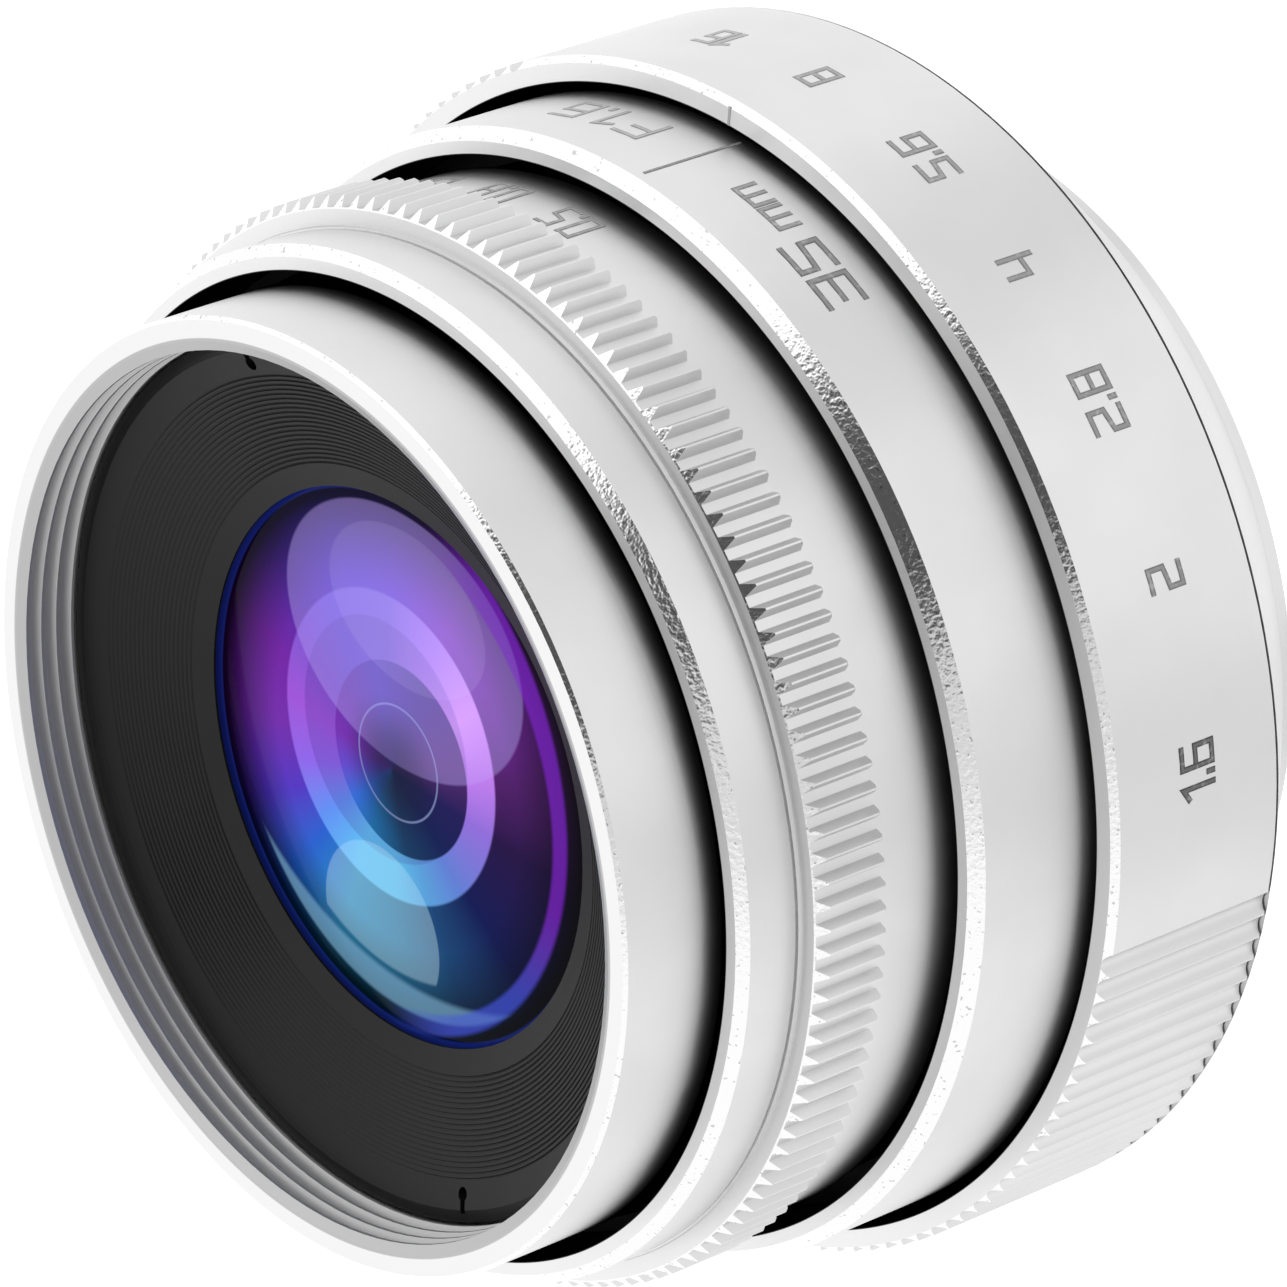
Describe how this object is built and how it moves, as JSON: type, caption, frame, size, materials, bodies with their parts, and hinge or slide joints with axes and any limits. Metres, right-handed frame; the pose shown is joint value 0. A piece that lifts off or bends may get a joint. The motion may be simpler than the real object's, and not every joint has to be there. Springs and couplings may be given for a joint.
{
  "type": "prime camera lens",
  "caption": "Short prime lens with a fluted focusing ring, a numbered aperture ring, an iris, a dished black front trim and a threaded rear mount.",
  "frame": {"origin": "centre of the mount's flange face, on the optical axis", "axes": "+Z along the optical axis towards the front glass; -Y through the index line"},
  "size_m": [0.05, 0.05, 0.039],
  "materials": {
    "satin_aluminium": "satin clear anodised over a fine turned surface",
    "black_aluminium": "matt black anodised",
    "black_trim": "semi-matt black anodised with turned grooves",
    "bronze": "turned and greased",
    "steel": "turned",
    "blade_steel": "matt black on spring steel",
    "coated_glass": "polished with a violet-blue anti-reflection coating",
    "inner_glass": "polished and coated",
    "slip_washer": "cut from low-friction sheet"
  },
  "bodies": {
    "fixed_barrel": {"mount_base": "satin_aluminium", "base_screws": "steel", "guide_key": "steel", "guide_key_screws": "steel", "index_barrel": "satin_aluminium", "helicoid_nut": "bronze", "helicoid_nut_screws": "steel", "focus_stop_screw": "steel", "light_baffle": "black_aluminium", "aperture_slip_washer": "slip_washer"},
    "aperture_ring": {"aperture_ring": "satin_aluminium", "aperture_drive_screw": "steel", "aperture_drive_ring": "black_aluminium", "aperture_drive_pin": "steel"},
    "optical_block": {"front_barrel": "satin_aluminium", "front_trim_ring": "black_trim", "lens_tube": "black_aluminium", "front_cell": "black_aluminium", "front_element": "coated_glass", "front_spacer": "black_aluminium", "second_element": "inner_glass", "second_retaining_ring": "black_aluminium", "rear_cell": "black_aluminium", "third_element": "inner_glass", "fourth_element": "inner_glass", "rear_spacer": "black_aluminium", "fifth_element": "inner_glass", "rear_retaining_ring": "black_aluminium", "iris_housing": "black_aluminium", "iris_snap_ring": "steel"},
    "focus_ring": {"focus_ring": "satin_aluminium", "focus_helicoid": "black_aluminium", "grip_lock_ring": "black_aluminium"},
    "iris_cam_ring": {"iris_cam_ring": "black_aluminium"},
    "iris_blade_1": {"iris_blade_1": "blade_steel"},
    "iris_blade_2": {"iris_blade_2": "blade_steel"},
    "iris_blade_3": {"iris_blade_3": "blade_steel"},
    "iris_blade_4": {"iris_blade_4": "blade_steel"},
    "iris_blade_5": {"iris_blade_5": "blade_steel"},
    "iris_blade_6": {"iris_blade_6": "blade_steel"},
    "iris_blade_7": {"iris_blade_7": "blade_steel"},
    "iris_blade_8": {"iris_blade_8": "blade_steel"}
  },
  "joints": [
    {"name": "focus_travel", "type": "slide", "parent": "fixed_barrel", "child": "optical_block", "axis": [0, 0, 1], "range_m": [-0.0031, 0]},
    {"name": "focus_turn", "type": "hinge", "parent": "optical_block", "child": "focus_ring", "pos_m": [0, 0, 0.025], "axis": [0, 0, 1], "range_deg": [-32.83, 0]},
    {"name": "aperture_turn", "type": "hinge", "parent": "fixed_barrel", "child": "aperture_ring", "pos_m": [0, 0, 0.01], "axis": [0, 0, 1], "range_deg": [-14.2, 75.9]},
    {"name": "iris_ring_turn", "type": "hinge", "parent": "optical_block", "child": "iris_cam_ring", "pos_m": [0, 0, 0.0158], "axis": [0, 0, 1], "range_deg": [-14.3, 76]},
    {"name": "iris_blade_1_swing", "type": "hinge", "parent": "optical_block", "child": "iris_blade_1", "pos_m": [0.0129, 0, 0.018], "axis": [0, 0, 1], "range_deg": [-30.8, 5.8]},
    {"name": "iris_blade_2_swing", "type": "hinge", "parent": "optical_block", "child": "iris_blade_2", "pos_m": [0.00912, 0.00912, 0.018], "axis": [0, 0, 1], "range_deg": [-30.8, 5.8]},
    {"name": "iris_blade_3_swing", "type": "hinge", "parent": "optical_block", "child": "iris_blade_3", "pos_m": [0, 0.0129, 0.018], "axis": [0, 0, 1], "range_deg": [-30.8, 5.8]},
    {"name": "iris_blade_4_swing", "type": "hinge", "parent": "optical_block", "child": "iris_blade_4", "pos_m": [-0.00912, 0.00912, 0.018], "axis": [0, 0, 1], "range_deg": [-30.8, 5.8]},
    {"name": "iris_blade_5_swing", "type": "hinge", "parent": "optical_block", "child": "iris_blade_5", "pos_m": [-0.0129, 0, 0.018], "axis": [0, 0, 1], "range_deg": [-30.8, 5.8]},
    {"name": "iris_blade_6_swing", "type": "hinge", "parent": "optical_block", "child": "iris_blade_6", "pos_m": [-0.00912, -0.00912, 0.018], "axis": [0, 0, 1], "range_deg": [-30.8, 5.8]},
    {"name": "iris_blade_7_swing", "type": "hinge", "parent": "optical_block", "child": "iris_blade_7", "pos_m": [0, -0.0129, 0.018], "axis": [0, 0, 1], "range_deg": [-30.8, 5.8]},
    {"name": "iris_blade_8_swing", "type": "hinge", "parent": "optical_block", "child": "iris_blade_8", "pos_m": [0.00912, -0.00912, 0.018], "axis": [0, 0, 1], "range_deg": [-30.8, 5.8]}
  ],
  "couplings": [
    {"joint": "focus_turn", "follows": "focus_travel", "rad_per_m": 184.8},
    {"joint": "iris_ring_turn", "follows": "aperture_turn", "ratio": 1},
    {"joint": "iris_blade_1_swing", "follows": "aperture_turn", "ratio": -0.404},
    {"joint": "iris_blade_2_swing", "follows": "aperture_turn", "ratio": -0.404},
    {"joint": "iris_blade_3_swing", "follows": "aperture_turn", "ratio": -0.404},
    {"joint": "iris_blade_4_swing", "follows": "aperture_turn", "ratio": -0.404},
    {"joint": "iris_blade_5_swing", "follows": "aperture_turn", "ratio": -0.404},
    {"joint": "iris_blade_6_swing", "follows": "aperture_turn", "ratio": -0.404},
    {"joint": "iris_blade_7_swing", "follows": "aperture_turn", "ratio": -0.404},
    {"joint": "iris_blade_8_swing", "follows": "aperture_turn", "ratio": -0.404}
  ]
}
